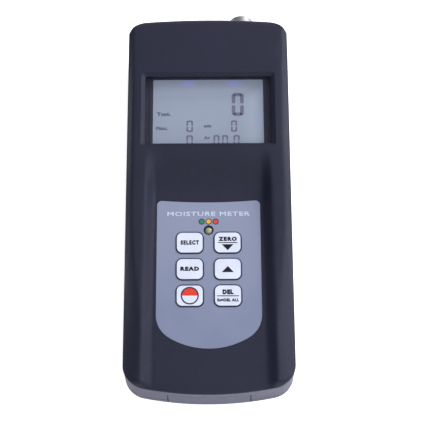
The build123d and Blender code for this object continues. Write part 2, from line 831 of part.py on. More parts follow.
# ---- batteries: four cells side by side, every second one turned round ----
with BuildPart() as battery_cells:
    for place, x in enumerate(cell_xs):
        way = 1 if place % 2 == 0 else -1
        nub_y = bay_high_y if way > 0 else bay_low_y
        nub_y -= way * (contact_thick + 2 * contact_gap)
        with BuildSketch(Plane.XZ.offset(-nub_y)):
            with Locations((x, cell_z)):
                Circle(cell_nub_radius)
        extrude(amount=way * cell_length)
        with BuildSketch(Plane.XZ.offset(-(nub_y - way * cell_nub))):
            with Locations((x, cell_z)):
                Circle(cell_radius)
        extrude(amount=way * (cell_length - cell_nub))
save(battery_cells, "battery_cells")

with BuildPart() as battery_contacts:
    # the socket-end plates join cells 1-2 and 3-4; the other end joins 2-3 and has two single tabs
    long_plate = cell_pitch * contact_long
    short_plate = cell_pitch * contact_short
    high_plates = [(-cell_pitch, long_plate), (cell_pitch, long_plate)]
    low_plates = [(0, long_plate), (cell_xs[0], short_plate), (cell_xs[-1], short_plate)]
    low_face = bay_low_y + contact_gap + contact_thick
    high_face = bay_high_y - contact_gap
    for face, plates in ((low_face, low_plates), (high_face, high_plates)):
        for x, width in plates:
            with BuildSketch(Plane.XZ.offset(-face)):
                with Locations((x, cell_z)):
                    RectangleRounded(width, contact_height, contact_corner)
            extrude(amount=contact_thick)
save(battery_contacts, "battery_contacts")

spring_length = spring_room - 6 * contact_gap - 2 * spring_wire
with BuildPart() as coil:
    with BuildLine():
        turn = Helix(spring_pitch, spring_length, spring_radius)
    with BuildSketch(Plane(origin=turn @ 0, z_dir=turn % 0)):
        Circle(spring_wire)
    sweep()

with BuildPart() as battery_springs:
    for place, x in enumerate(cell_xs):
        way = 1 if place % 2 == 0 else -1
        start_y = low_face + 2 * contact_gap + spring_wire
        if way < 0:
            start_y = high_face - contact_thick - 2 * contact_gap - spring_wire
        add(Pos(x, start_y, cell_z) * Rot(-90 * way, 0, 0) * coil.part)
save(battery_springs, "battery_springs")

# ---- probe socket: barrel with two bayonet lugs, core, centre contact, washer, nut and leads ----
rim_y = top_y + socket_stub
with BuildPart() as socket_barrel:
    with BuildSketch(Plane.XZ.offset(-rim_y)):
        with Locations((socket_x, socket_z)):
            Circle(socket_radius)
    extrude(amount=socket_front)
    with BuildSketch(Plane.XZ.offset(-rim_y + socket_front)):
        with Locations((socket_x, socket_z)):
            Circle(socket_collar_radius)
    extrude(amount=rim_y - socket_front - inner_y + socket_inside)
    with BuildSketch(Plane.XZ.offset(-inner_y)):
        with Locations((socket_x, socket_z)):
            Circle(socket_flange_radius)
    extrude(amount=socket_flange)
    with BuildSketch(Plane.XZ.offset(-rim_y)):
        with Locations((socket_x, socket_z)):
            Circle(socket_bore)
    extrude(amount=socket_stub, mode=Mode.SUBTRACT)
    with BuildSketch(Plane.XZ.offset(-rim_y)):
        with Locations((socket_x, socket_z)):
            Circle(core_radius + contact_gap)
    extrude(amount=rim_y - inner_y + socket_inside + spare, mode=Mode.SUBTRACT)
    chamfer(socket_barrel.edges().group_by(Axis.Y)[-1], rim_chamfer)
    with BuildSketch(Plane.XY.offset(socket_z)):
        with Locations((socket_x, rim_y - lug_from_rim)):
            Circle(lug_radius)
    extrude(amount=socket_radius + lug_height, both=True)
    with BuildSketch(Plane.XZ.offset(-rim_y)):
        with Locations((socket_x, socket_z)):
            Circle(socket_bore)
    extrude(amount=socket_stub, mode=Mode.SUBTRACT)
save(socket_barrel, "socket_barrel")

core_y = rim_y - core_from_rim
core_end_y = inner_y - socket_inside
with BuildPart() as socket_core:
    with BuildSketch(Plane.XZ.offset(-core_y)):
        with Locations((socket_x, socket_z)):
            Circle(core_radius)
            Circle(contact_radius + contact_gap, mode=Mode.SUBTRACT)
    extrude(amount=core_y - core_end_y)
    fillet(socket_core.edges().group_by(Axis.Y)[-1].sort_by(SortBy.LENGTH)[-1], rim_chamfer)
save(socket_core, "socket_core")

with BuildPart() as socket_contact:
    with BuildSketch(Plane.XZ.offset(-(core_y + contact_proud))):
        with Locations((socket_x, socket_z)):
            Circle(contact_radius)
    extrude(amount=core_y + contact_proud - core_end_y + contact_tail)
    with BuildSketch(Plane.XZ.offset(-(core_y + contact_proud))):
        with Locations((socket_x, socket_z)):
            Circle(contact_bore)
    extrude(amount=contact_bore_depth, mode=Mode.SUBTRACT)
save(socket_contact, "socket_contact")

washer_y = inner_y - socket_flange - assembly_gap
with BuildPart() as socket_washer:
    with BuildSketch(Plane.XZ.offset(-washer_y)):
        with Locations((socket_x, socket_z)):
            Circle(washer_radius)
            Circle(socket_collar_radius + assembly_gap, mode=Mode.SUBTRACT)
    extrude(amount=washer_thick)
save(socket_washer, "socket_washer")

nut_y = washer_y - washer_thick - assembly_gap
with BuildPart() as socket_nut:
    with BuildSketch(Plane.XZ.offset(-nut_y)):
        with Locations((socket_x, socket_z)):
            RegularPolygon(socket_nut_flats / 2, 6, major_radius=False)
            Circle(socket_collar_radius + assembly_gap, mode=Mode.SUBTRACT)
    extrude(amount=socket_nut_thick)
save(socket_nut, "socket_nut")

# tinned wires from the contact and from the barrel, bent up to the board
with BuildPart() as socket_leads:
    contact_end = core_end_y - contact_tail - contact_gap
    barrel_end = core_end_y - contact_gap
    for turn, start_y in enumerate((contact_end, barrel_end)):
        lead_z = socket_z - turn * lead_spread
        end = board_top_y - lead_in - turn * lead_pitch
        with BuildLine():
            route = FilletPolyline(
                (socket_x, start_y, lead_z),
                (socket_x, end, lead_z),
                (socket_x, end, board_z - contact_gap),
                radius=lead_bend,
            )
        with BuildSketch(Plane(origin=route @ 0, z_dir=route % 0)):
            Circle(lead_radius)
        sweep(path=route)
save(socket_leads, "socket_leads")
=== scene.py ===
import json
import math

import bmesh
import bpy
from mathutils import Matrix, Vector


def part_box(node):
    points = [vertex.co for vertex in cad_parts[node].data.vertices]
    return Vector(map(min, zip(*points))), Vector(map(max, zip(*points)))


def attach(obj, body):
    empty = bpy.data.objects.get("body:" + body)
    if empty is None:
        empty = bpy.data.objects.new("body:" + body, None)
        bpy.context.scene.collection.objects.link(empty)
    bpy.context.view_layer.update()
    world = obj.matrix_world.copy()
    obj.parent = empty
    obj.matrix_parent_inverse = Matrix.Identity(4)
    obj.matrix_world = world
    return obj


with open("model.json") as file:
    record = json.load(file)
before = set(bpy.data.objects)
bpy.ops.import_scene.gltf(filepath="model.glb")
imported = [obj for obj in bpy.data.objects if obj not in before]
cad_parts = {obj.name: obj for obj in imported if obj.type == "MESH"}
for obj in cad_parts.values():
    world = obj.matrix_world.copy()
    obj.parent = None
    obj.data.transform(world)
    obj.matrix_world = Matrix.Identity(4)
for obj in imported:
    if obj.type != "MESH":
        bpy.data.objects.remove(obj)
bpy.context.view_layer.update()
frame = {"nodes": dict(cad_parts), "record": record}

# Handheld moisture meter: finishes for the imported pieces, and the printing and display segments.
# Lengths are in metres.  X is to the right, Y runs from the battery end to the socket end, and
# Z points out of the front.

MM = 0.001
NODES = frame["nodes"]
BODIES = frame["record"]["behaviour"]["bodies"]
BODY_OF = {node: body for body, members in BODIES.items() for node in members}
PRINT_THICK = 0.03 * MM
PRINT_LIFT = 0.012 * MM
FONT_SIZE = 0.01
KEY_CORNER = 2.6  # radius of a key's corners and width of its printed outline, in millimetres
KEY_OUTLINE = 0.42
RULE_THICK = 0.34 * MM
SKY_LEFT = 0.35
SKY_RIGHT = 1.0
FLOOR_GLOW = 0.68


# ---- shader building ----


class Value:
    """A number that changes over a surface.  Arithmetic on it adds Math nodes."""

    def __init__(self, finish, socket):
        self.finish = finish
        self.socket = socket

    def work(self, operation, *others):
        """The result of one Math node, with this value in its first socket."""
        node = self.finish.node("ShaderNodeMath", {"operation": operation})
        for socket, value in zip(node.inputs, (self, *others)):
            self.finish.feed(socket, value)
        return Value(self.finish, node.outputs[0])

    def turned(self, operation, other):
        """The same with this value in the second socket."""
        node = self.finish.node("ShaderNodeMath", {"operation": operation})
        self.finish.feed(node.inputs[0], other)
        self.finish.feed(node.inputs[1], self)
        return Value(self.finish, node.outputs[0])

    def __add__(self, other):
        return self.work("ADD", other)

    def __radd__(self, other):
        return self.turned("ADD", other)

    def __sub__(self, other):
        return self.work("SUBTRACT", other)

    def __rsub__(self, other):
        return self.turned("SUBTRACT", other)

    def __mul__(self, other):
        return self.work("MULTIPLY", other)

    def __rmul__(self, other):
        return self.turned("MULTIPLY", other)

    def __truediv__(self, other):
        return self.work("DIVIDE", other)

    def __pow__(self, other):
        return self.work("POWER", other)

    def absolute(self):
        return self.work("ABSOLUTE")

    def most(self, other):
        return self.work("MAXIMUM", other)

    def step(self, low, high):
        """Smooth change from 0 to 1 as this value goes from low to high."""
        node = self.finish.node(
            "ShaderNodeMapRange",
            {"interpolation_type": "SMOOTHSTEP"},
            {"Value": self, "From Min": low, "From Max": high},
        )
        return Value(self.finish, node.outputs["Result"])


class Finish:
    """A procedural finish: one Principled shader and the nodes that vary it over the surface."""

    def __init__(self, name, **sockets):
        self.material = bpy.data.materials.new(name)
        self.material.use_nodes = True
        self.tree = self.material.node_tree
        self.shader = self.tree.nodes["Principled BSDF"]
        self.place = self.node("ShaderNodeTexCoord").outputs["Object"]
        self.set(**sockets)

    def node(self, kind, settings=None, sockets=None):
        """Adds a node: its settings first, then the values or links of its sockets."""
        node = self.tree.nodes.new(kind)
        for name, value in (settings or {}).items():
            setattr(node, name, value)
        for name, value in (sockets or {}).items():
            self.feed(node.inputs[name], value)
        return node

    def feed(self, socket, value):
        if isinstance(value, Value):
            value = value.socket
        if isinstance(value, bpy.types.NodeSocket):
            self.tree.links.new(value, socket)
        elif socket.type == "RGBA" and len(value) == 3:
            socket.default_value = (*value, 1.0)
        else:
            socket.default_value = value

    def set(self, **sockets):
        """Values or links of the shader's sockets, with spaces in their names as underscores."""
        for name, value in sockets.items():
            self.feed(self.shader.inputs[name.replace("_", " ")], value)

    def along(self):
        """The three coordinates of a point on the piece, in millimetres."""
        node = self.node("ShaderNodeSeparateXYZ", None, {"Vector": self.place})
        return [Value(self, out) * (1 / MM) for out in node.outputs]

    def noise(self, size, detail=2.0, roughness=0.5, stretch=(1, 1, 1)):
        """Noise from 0 to 1 with features of this size in millimetres."""
        mapping = self.node("ShaderNodeMapping", None, {"Vector": self.place, "Scale": stretch})
        node = self.node(
            "ShaderNodeTexNoise",
            {"noise_dimensions": "3D"},
            {
                "Vector": mapping.outputs["Vector"],
                "Scale": 1 / (size * MM),
                "Detail": detail,
                "Roughness": roughness,
            },
        )
        return Value(self, node.outputs["Fac"])

    def cells(self, size, feature="F1"):
        """Distance to the nearest of scattered points, about one for each size in millimetres."""
        node = self.node(
            "ShaderNodeTexVoronoi",
            {"feature": feature},
            {"Vector": self.place, "Scale": 1 / (size * MM)},
        )
        return Value(self, node.outputs["Distance"])

    def mix(self, share, first, second):
        """Colour that goes from first to second as share goes from 0 to 1."""
        node = self.node("ShaderNodeMix", {"data_type": "RGBA"})
        sockets = {socket.identifier: socket for socket in node.inputs}
        self.feed(sockets["Factor_Float"], share)
        self.feed(sockets["A_Color"], first)
        self.feed(sockets["B_Color"], second)
        return {socket.identifier: socket for socket in node.outputs}["Result_Color"]

    def bump(self, height, depth, strength=1.0):
        """Normals for a height from 0 to 1 that stands for depth in millimetres."""
        node = self.node(
            "ShaderNodeBump",
            None,
            {"Height": height, "Distance": depth * MM, "Strength": strength},
        )
        return node.outputs["Normal"]


# ---- finishes ----


def moulded_housing(name, dark, light, crevice_low, crevice_high):
    """Housing moulding: fine spark-eroded grain, faint clouding, dust and rub marks.

    It darkens inside the open line between the shells, where no light reaches."""
    finish = Finish(name, IOR=1.45, Specular_IOR_Level=0.3)
    x, y, z = finish.along()
    grain = finish.noise(0.32, 3.0, 0.6)
    coarse = finish.noise(0.9, 2.0)
    cloud = finish.noise(22, 3.0)
    rub = finish.noise(6, 4.0, 0.65).step(0.56, 0.72)
    dust = finish.cells(2.6).step(0.03, 0.012) * finish.noise(9).step(0.55, 0.75)
    body = finish.mix(cloud.step(0.3, 0.7), dark, light)
    speckle = tuple(2.1 * part for part in light)
    speckled = finish.mix(grain.step(0.35, 0.7) * 0.35, body, speckle)
    dusty = finish.mix(dust * 0.25, speckled, (0.30, 0.31, 0.36))
    inside = z.step(crevice_low, crevice_low + 0.1) * z.step(crevice_high, crevice_high - 0.1)
    finish.set(
        Base_Color=finish.mix(inside, dusty, (0.001, 0.001, 0.002)),
        Roughness=0.58 + 0.12 * coarse - 0.08 * rub,
        Normal=finish.bump(grain * 0.75 + coarse * 0.25, 0.05, 0.5),
    )
    return finish.material


def printed_film():
    """Grey-blue printed polyester film with a fine matt grain, and painted shade that darkens it towards the
    battery end.
    """
    finish = Finish("printed_film", IOR=1.5)
    x, y, z = finish.along()
    grain = finish.noise(0.12, 2.0)
    cloud = finish.noise(14, 2.0)
    # Painted shade: the film is darker towards the battery end, where less light falls.
    low = y.step(-66, 0)
    body = finish.mix(low, (0.140, 0.167, 0.270), (0.193, 0.221, 0.325))
    mottled = finish.mix(cloud.step(0.3, 0.7) * 0.25, body, (0.207, 0.236, 0.336))
    finish.set(
        Base_Color=finish.mix(grain.step(0.4, 0.7) * 0.12, mottled, (0.26, 0.29, 0.385)),
        Roughness=0.42 + 0.12 * grain,
        Normal=finish.bump(grain, 0.012, 0.5),
    )
    return finish.material


def key_print(node):
    """Pale key print inside a dark outline that follows the rounded edge of the key."""
    finish = Finish(node + "_print", IOR=1.5, Specular_IOR_Level=0.3)
    low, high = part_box(node)
    middle = (low + high) / 2 / MM
    half = (high - low) / 2 / MM
    blur = 0.08
    x, y, z = finish.along()
    across = ((x - middle.x).absolute() - (half.x - KEY_CORNER)).most(0.0)
    up = ((y - middle.y).absolute() - (half.y - KEY_CORNER)).most(0.0)
    inset = KEY_CORNER - (across * across + up * up) ** 0.5
    outline = inset.step(KEY_OUTLINE + blur, KEY_OUTLINE - blur)
    fibre = finish.noise(0.1, 2.0)
    pale = finish.mix(finish.noise(5).step(0.3, 0.7), (0.56, 0.59, 0.71), (0.60, 0.64, 0.75))
    finish.set(
        Base_Color=finish.mix(outline, pale, (0.013, 0.017, 0.062)),
        Roughness=0.38 + 0.1 * fibre,
        Normal=finish.bump(fibre, 0.010, 0.5),
    )
    return finish.material


def ink(name, colour, rough=0.4, uneven=0.15):
    """Screen-printed ink, a little uneven."""
    finish = Finish(name, IOR=1.48, Specular_IOR_Level=0.2)
    patch = finish.noise(0.35, 2.0)
    deep = tuple(part * (1 - uneven) for part in colour)
    finish.set(
        Base_Color=finish.mix(patch.step(0.35, 0.65), deep, colour),
        Roughness=rough + 0.1 * patch,
        Normal=finish.bump(patch, 0.006, 0.4),
    )
    return finish.material


def display_glass(lamp_xs, lamp_y):
    """Reflective display behind its polariser, with faint painted lamp glows near the upper edge, painted
    shade towards its lower edge, and painted light near its upper edge and towards the right.
    """
    finish = Finish("display_glass", IOR=1.5)
    glow_half_width = 5.2
    glow_half_height = 2.6
    low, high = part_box("lcd_glass")
    x, y, z = finish.along()
    weave = finish.noise(0.25, 2.0)
    cloud = finish.noise(11, 2.0)
    # Painted shade: the display is darker towards its lower edge.
    body = finish.mix(y.step(low.y / MM, high.y / MM), (0.212, 0.249, 0.330), (0.232, 0.272, 0.360))
    body = finish.mix(cloud.step(0.3, 0.7) * 0.2, body, (0.24, 0.279, 0.365))
    # Painted light: lighter near the upper edge, against the shade cast by the window's edge, and towards
    # the right.
    painted_edge_light = y.step(46, 54.5).most(x.step(12, 25))
    body = finish.mix(painted_edge_light, body, (0.385, 0.445, 0.580))
    glow = None
    for lamp_x in lamp_xs:
        off = (((x - lamp_x) / glow_half_width) ** 2 + ((y - lamp_y) / glow_half_height) ** 2) ** 0.5
        spot = off.step(1.0, 0.0)
        glow = spot if glow is None else glow.most(spot)
    finish.set(
        Base_Color=finish.mix(glow * 0.75, body, (0.42, 0.45, 1.0)),
        Roughness=0.30 + 0.05 * weave,
        Normal=finish.bump(weave, 0.004, 0.4),
    )
    return finish.material


def clear_lens():
    """Clear hard-coated window with a trace of dust."""
    finish = Finish("clear_lens", IOR=1.49)
    dust = finish.cells(1.7).step(0.05, 0.02)
    haze = finish.noise(8, 3.0)
    finish.set(
        Base_Color=finish.mix(dust, (0.55, 0.58, 0.65), (0.9, 0.9, 0.9)),
        Alpha=0.010 + 0.010 * haze + 0.10 * dust,
        Roughness=0.06 + 0.05 * haze,
    )
    return finish.material


def plated(name, colour, rough, axis="y", ring=0.35):
    """Turned and plated metal with fine tool rings."""
    finish = Finish(name)
    coordinate = dict(zip("xyz", finish.along()))[axis]
    rings = (coordinate * (2 * math.pi / ring)).work("SINE") * 0.5 + 0.5
    tarnish = finish.noise(1.6, 3.0)
    dull = tuple(part * 0.72 for part in colour)
    finish.set(
        Metallic=1.0,
        Base_Color=finish.mix(tarnish.step(0.45, 0.75) * 0.6, colour, dull),
        Roughness=rough + 0.12 * tarnish,
        Normal=finish.bump(rings * 0.6 + finish.noise(0.15) * 0.4, 0.01, 0.35),
    )
    return finish.material


def fine_metal(name, colour, rough):
    """Drawn or stamped metal with small marks."""
    finish = Finish(name)
    marks = finish.noise(0.3, 3.0)
    finish.set(
        Metallic=1.0,
        Base_Color=finish.mix(marks, tuple(part * 0.8 for part in colour), colour),
        Roughness=rough + 0.15 * marks,
        Normal=finish.bump(marks, 0.008, 0.4),
    )
    return finish.material


def moulded(name, colour, rough, grain_size=0.4, depth=0.02, shine=0.5):
    """Plain moulded plastic or rubber with a light surface grain."""
    finish = Finish(name, IOR=1.48, Specular_IOR_Level=shine)
    grain = finish.noise(grain_size, 3.0)
    patch = finish.noise(7, 2.0)
    deep = tuple(part * 0.8 for part in colour)
    finish.set(
        Base_Color=finish.mix(patch.step(0.3, 0.7), deep, colour),
        Roughness=rough + 0.1 * grain,
        Normal=finish.bump(grain, depth, 0.5),
    )
    return finish.material


def lamp_lens():
    """Tinted lamp body with painted shade: darker lower down, in the shade of its hole, and paler at its
    top.
    """
    finish = Finish("lamp_lens", IOR=1.55, Roughness=0.16)
    low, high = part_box("status_led")
    x, y, z = finish.along()
    # Painted shade: the lens darkens lower down, inside its hole.
    clear_of_painted_shade = z.step(high.z / MM - 1.6, high.z / MM - 0.1)
    swirl = finish.noise(0.8, 2.0)
    tint = finish.mix(swirl, (0.27, 0.285, 0.145), (0.40, 0.40, 0.22))
    finish.set(Base_Color=finish.mix(clear_of_painted_shade * 0.6, (0.20, 0.21, 0.12), tint))
    return finish.material


def solder_mask():
    """Green board with the faint relief of its tracks."""
    finish = Finish("solder_mask", IOR=1.5)
    tracks = finish.cells(2.4, "DISTANCE_TO_EDGE").step(0.06, 0.09)
    patch = finish.noise(3, 3.0)
    mask = finish.mix(patch, (0.010, 0.085, 0.030), (0.014, 0.11, 0.04))
    finish.set(
        Base_Color=finish.mix(tracks, (0.02, 0.16, 0.06), mask),
        Roughness=0.3 + 0.1 * patch,
        Normal=finish.bump(tracks, 0.03, 0.4),
    )
    return finish.material


def cell_sleeve():
    """Plain printed battery sleeve: dark body, with a copper-coloured band at one end."""
    finish = Finish("cell_sleeve", Metallic=0.35, IOR=1.5)
    low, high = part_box("battery_cells")
    x, y, z = finish.along()
    band = y.step(high.y / MM - 13.0, high.y / MM - 12.6)
    scuff = finish.noise(1.2, 4.0)
    body = finish.mix(scuff, (0.012, 0.018, 0.05), (0.02, 0.03, 0.07))
    copper = finish.mix(scuff, (0.42, 0.20, 0.09), (0.50, 0.25, 0.12))
    finish.set(
        Base_Color=finish.mix(band, body, copper),
        Roughness=0.26 + 0.15 * scuff,
        Normal=finish.bump(scuff, 0.01, 0.3),
    )
    return finish.material


def cover(node, material):
    """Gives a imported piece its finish."""
    mesh = NODES[node].data
    mesh.materials.clear()
    mesh.materials.append(material)


# ---- printing and segments ----


def top_plane(node):
    """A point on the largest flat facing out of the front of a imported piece, and its normal."""
    facing = [face for face in NODES[node].data.polygons if face.normal.z > 0.9]
    best = max(facing, key=lambda face: face.area)
    return Vector(best.center), Vector(best.normal)


def onto(plane, x, y, lift):
    """Matrix that lays a flat shape, drawn in XY, on a plane at x and y."""
    point, normal = plane
    z = point.z - ((x - point.x) * normal.x + (y - point.y) * normal.y) / normal.z
    side = Vector((normal.z, 0, -normal.x)).normalized()
    up = normal.cross(side)
    turn = Matrix((side, up, normal)).transposed().to_4x4()
    return Matrix.Translation(Vector((x, y, z)) + normal * lift) @ turn


def keep_piece(name, shape, material, body):
    """Makes a finished mesh into a piece that rides on a body."""
    mesh = bpy.data.meshes.new(name)
    shape.to_mesh(mesh)
    shape.free()
    mesh.materials.append(material)
    piece = bpy.data.objects.new(name, mesh)
    bpy.context.collection.objects.link(piece)
    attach(piece, body)
    return piece


def raise_print(shape):
    """Gives flat shapes the thickness of a layer of ink."""
    made = bmesh.ops.extrude_face_region(shape, geom=list(shape.faces))
    lifted = [part for part in made["geom"] if isinstance(part, bmesh.types.BMVert)]
    bmesh.ops.translate(shape, verts=lifted, vec=(0, 0, PRINT_THICK))
    bmesh.ops.recalc_face_normals(shape, faces=shape.faces)


def flat_words(words, width, height, weight, spread):
    """Lettering drawn flat in XY about its middle, thickened by weight and fitted to a size."""
    curve = bpy.data.curves.new(words, "FONT")
    curve.body = words
    curve.size = FONT_SIZE
    curve.resolution_u = 3
    curve.space_character = spread
    curve.bevel_depth = weight * FONT_SIZE
    curve.bevel_resolution = 0
    holder = bpy.data.objects.new(words, curve)
    bpy.context.collection.objects.link(holder)
    bpy.context.view_layer.update()
    drawn = bpy.data.meshes.new_from_object(holder.evaluated_get(bpy.context.evaluated_depsgraph_get()))
    bpy.data.objects.remove(holder)
    bpy.data.curves.remove(curve)
    shape = bmesh.new()
    shape.from_mesh(drawn)
    bpy.data.meshes.remove(drawn)
    bmesh.ops.remove_doubles(shape, verts=shape.verts, dist=1e-6)
    low = Vector([min(vert.co[axis] for vert in shape.verts) for axis in range(3)])
    high = Vector([max(vert.co[axis] for vert in shape.verts) for axis in range(3)])
    middle = (low + high) / 2
    bmesh.ops.translate(shape, verts=shape.verts, vec=(-middle.x, -middle.y, -low.z))
    size = high - low
    scale = (width / size.x, height / size.y, PRINT_THICK / size.z)
    bmesh.ops.scale(shape, verts=shape.verts, vec=scale)
    return shape


def bar(shape, x, y, long, wide, upright):
    """Adds one bar of a numeral, lying flat in XY, with its four corners cut off."""
    part = block(wide, long)
    cut = wide * 0.3
    for across in (-1, 1):
        for up in (-1, 1):
            bmesh.ops.bisect_plane(
                part,
                geom=list(part.verts) + list(part.edges) + list(part.faces),
                plane_co=(across * (wide / 2 - cut), up * long / 2, 0),
                plane_no=(across, up, 0),
                clear_outer=True,
            )
    if not upright:
        bmesh.ops.rotate(part, verts=part.verts, cent=(0, 0, 0), matrix=Matrix.Rotation(math.pi / 2, 3, "Z"))
    bmesh.ops.translate(part, verts=part.verts, vec=(x, y, 0))
    loose = bpy.data.meshes.new("bar")
    part.to_mesh(loose)
    part.free()
    shape.from_mesh(loose)
    bpy.data.meshes.remove(loose)


def zero_digit(shape, left, right, low, high, wide):
    """Adds a 0 made of six bars between these edges, open at its waist."""
    half = (high - low) / 2
    gap = wide * 0.5
    for x in (left + wide / 2, right - wide / 2):
        for y in (low + half / 2, high - half / 2):
            bar(shape, x, y, half - gap, wide, True)
    for y in (low + wide / 2, high - wide / 2):
        bar(shape, (left + right) / 2, y, right - left - wide * 1.1, wide, False)


def lay(shape, plane, x, y, name, material, body):
    """Gives a flat shape its thickness, lays it on a plane at x and y, and keeps it as a piece."""
    if max(vert.co.z for vert in shape.verts) < PRINT_THICK / 2:
        raise_print(shape)
    shape.transform(onto(plane, x, y, PRINT_LIFT))
    return keep_piece(name, shape, material, body)


def block(width, height):
    """Flat rectangle about its middle."""
    shape = bmesh.new()
    bmesh.ops.create_grid(shape, x_segments=1, y_segments=1, size=0.5)
    bmesh.ops.scale(shape, verts=shape.verts, vec=(width, height, 1))
    return shape


def pointer(width, height, up):
    """Flat triangle that points up or down."""
    shape = bmesh.new()
    bmesh.ops.create_circle(shape, cap_ends=True, segments=3, radius=1)
    xs = [vert.co.x for vert in shape.verts]
    ys = [vert.co.y for vert in shape.verts]
    middle = Vector(((max(xs) + min(xs)) / 2, (max(ys) + min(ys)) / 2, 0))
    bmesh.ops.translate(shape, verts=shape.verts, vec=-middle)
    top = max(shape.verts, key=lambda vert: abs(vert.co.y - sum(v.co.y for v in shape.verts) / 3))
    flip = 1 if (top.co.y > 0) == up else -1
    scale = (width / (max(xs) - min(xs)), flip * height / (max(ys) - min(ys)), 1)
    bmesh.ops.scale(shape, verts=shape.verts, vec=scale)
    bmesh.ops.recalc_face_normals(shape, faces=shape.faces)
    return shape


def disc(radius, segments=48):
    """Flat disc."""
    shape = bmesh.new()
    bmesh.ops.create_circle(shape, cap_ends=True, segments=segments, radius=radius)
    return shape


def ring(radius, inner, segments=48):
    """Flat ring."""
    shape = bmesh.new()
    bmesh.ops.create_circle(shape, segments=segments, radius=radius)
    bmesh.ops.create_circle(shape, segments=segments, radius=inner)
    bmesh.ops.bridge_loops(shape, edges=shape.edges)
    return shape


def half_disc(radius, upper):
    """Flat half of a disc."""
    shape = disc(radius)
    bmesh.ops.bisect_plane(
        shape,
        geom=list(shape.verts) + list(shape.edges) + list(shape.faces),
        plane_co=(0, 0, 0),
        plane_no=(0, 1, 0),
        clear_inner=upper,
        clear_outer=not upper,
    )
    return shape


# ---- putting it together ----


def key_middle(key):
    """Middle of a key in X and Y."""
    low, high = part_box(key + "_key")
    return (low.x + high.x) / 2, (low.y + high.y) / 2


def print_keys(black, red, white, navy):
    """Legends on the six keys.  Each rides with its key."""

    def put(key, name, shape, dy, material, dx=0.0):
        x, y = key_middle(key)
        plane = top_plane(key + "_key")
        lay(shape, plane, x + dx * MM, y + dy * MM, key + "_" + name, material, key)

    put("select", "legend", flat_words("SELECT", 7.5 * MM, 1.9 * MM, 0.070, 1.30), 0.05, black)
    put("read", "legend", flat_words("READ", 7.6 * MM, 1.75 * MM, 0.078, 1.28), 0.1, black)
    put("zero", "legend", flat_words("ZERO", 7.5 * MM, 1.8 * MM, 0.078, 1.28), 1.5, black)
    put("zero", "rule", block(7.9 * MM, RULE_THICK), -0.05, black)
    put("zero", "arrow", pointer(4.8 * MM, 2.5 * MM, False), -2.0, black)
    put("up", "arrow", pointer(4.8 * MM, 2.6 * MM, True), -0.1, black)
    put("delete", "legend", flat_words("DEL", 4.4 * MM, 2.0 * MM, 0.085, 1.2), 1.5, black)
    put("delete", "rule", block(8.9 * MM, RULE_THICK), -0.15, black)
    put("delete", "note", flat_words("5s=DEL ALL", 8.8 * MM, 1.3 * MM, 0.070, 1.15), -1.85, black)
    radius = 3.1 * MM
    border = 0.55 * MM
    put("power", "upper", half_disc(radius, True), 0.0, red)
    put("power", "lower", half_disc(radius, False), 0.0, white)
    put("power", "ring", ring(radius + border, radius), 0.0, navy)


def print_overlay(pale, navy, colours):
    """Title and the three coloured dots above the lamp."""
    plane = top_plane("keypad_overlay")
    low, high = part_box("keypad_overlay")
    lamp_low, lamp_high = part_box("status_led")
    x = (lamp_low.x + lamp_high.x) / 2
    lamp_y = (lamp_low.y + lamp_high.y) / 2
    dot_pitch = 2.85 * MM
    dot_rise = 3.6 * MM
    title = flat_words("MOISTURE METER", 34.0 * MM, 1.9 * MM, 0.032, 1.12)
    lay(title, plane, x, high.y - 5.7 * MM, "overlay_title", pale, BODY_OF["keypad_overlay"])
    for place, (name, material) in enumerate(colours):
        dot_x = x + (place - 1) * dot_pitch
        dot_y = lamp_y + dot_rise
        body = BODY_OF["keypad_overlay"]
        lay(disc(0.95 * MM), plane, dot_x, dot_y, name + "_dot", material, body)
        rim = ring(1.27 * MM, 0.93 * MM)
        lay(rim, plane, dot_x, dot_y, name + "_dot_rim", navy, body)
    rim = ring(2.05 * MM, 1.72 * MM)
    lay(rim, plane, x, lamp_y, "lamp_rim", navy, BODY_OF["keypad_overlay"])


def draw_display(segment, label):
    """Numerals and small labels on the display glass.

    Places are in millimetres from the middle of the glass's upper edge."""
    plane = top_plane("lcd_glass")
    body = BODY_OF["lcd_glass"]
    low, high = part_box("lcd_glass")
    x0 = (low.x + high.x) / 2
    y0 = high.y

    def digits(name, places, low_y, high_y, wide):
        shape = bmesh.new()
        for left, right in places:
            zero_digit(shape, left * MM, right * MM, low_y * MM, high_y * MM, wide * MM)
        lay(shape, plane, x0, y0, name, segment, body)

    def words(name, text, x, y, width, height):
        shape = flat_words(text, width * MM, height * MM, 0.07, 1.12)
        lay(shape, plane, x0 + x * MM, y0 + y * MM, name, label, body)

    digits("reading_digit", [(9.9, 15.0)], -17.1, -6.3, 1.55)
    digits("upper_digits", [(-9.2, -6.4), (9.5, 12.1)], -24.5, -19.2, 0.74)
    digits("lower_digits", [(-9.2, -6.4), (2.1, 4.7), (5.7, 8.3), (10.5, 13.1)], -31.5, -26.0, 0.74)
    words("test_label", "Test.", -18.7, -16.1, 5.9, 1.8)
    words("max_label", "Max.", -19.4, -22.7, 5.0, 1.7)
    words("min_label", "min", -0.3, -21.7, 3.2, 1.5)
    words("average_label", "Av", -0.6, -27.1, 2.6, 1.6)


